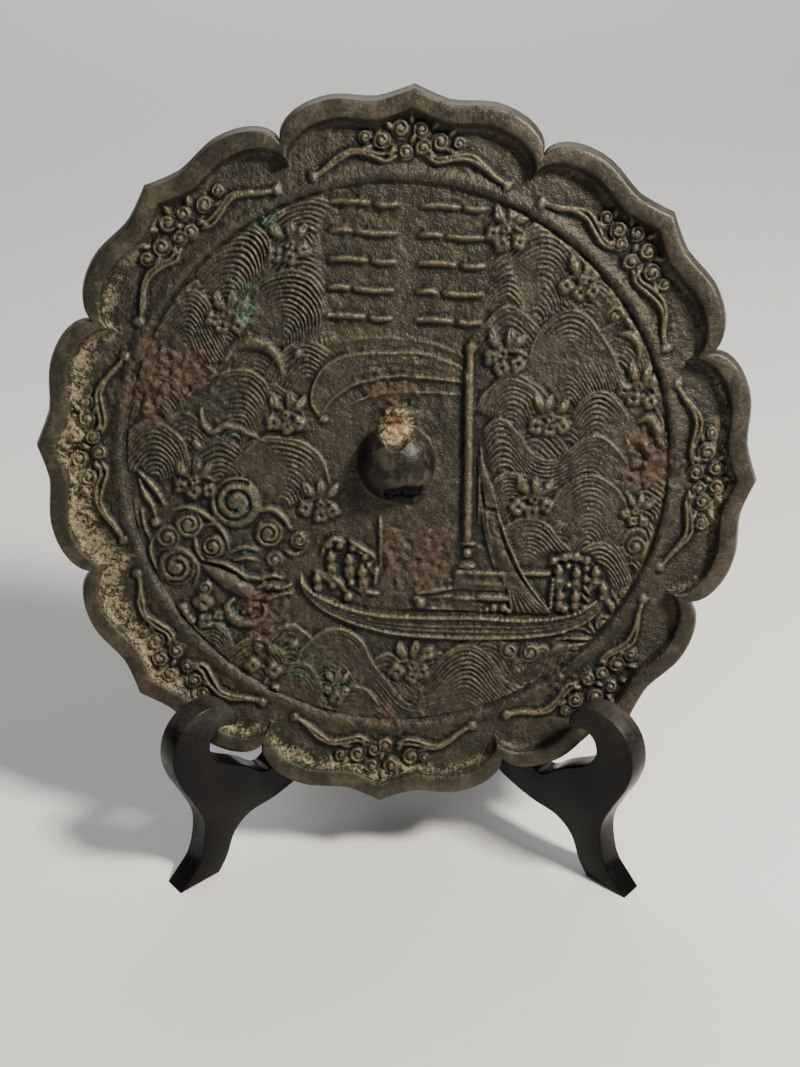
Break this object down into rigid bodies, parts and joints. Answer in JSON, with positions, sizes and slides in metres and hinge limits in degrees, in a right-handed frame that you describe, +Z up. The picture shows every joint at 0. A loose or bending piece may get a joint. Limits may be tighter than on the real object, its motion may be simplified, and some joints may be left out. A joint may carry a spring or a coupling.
{
  "type": "bronze mirror on a wooden stand",
  "caption": "Cast bronze mirror with a scalloped rim and ship-and-wave relief, leaning in a small black wooden stand.",
  "frame": {"origin": "on the table, under the middle of the whole object", "axes": "+X to the viewer's right, +Y to the back, +Z up; the decorated side of the mirror faces -Y and leans back"},
  "size_m": [0.1718, 0.0794, 0.1811],
  "materials": {
    "bronze": "old cast bronze, olive brown with green and red patina, worn bright on its edges",
    "lacquer": "glossy black lacquered hardwood, worn grey along the edges"
  },
  "bodies": {
    "root": {"mirror": "bronze", "stand_board_left": "lacquer", "stand_board_right": "lacquer"}
  },
  "joints": []
}
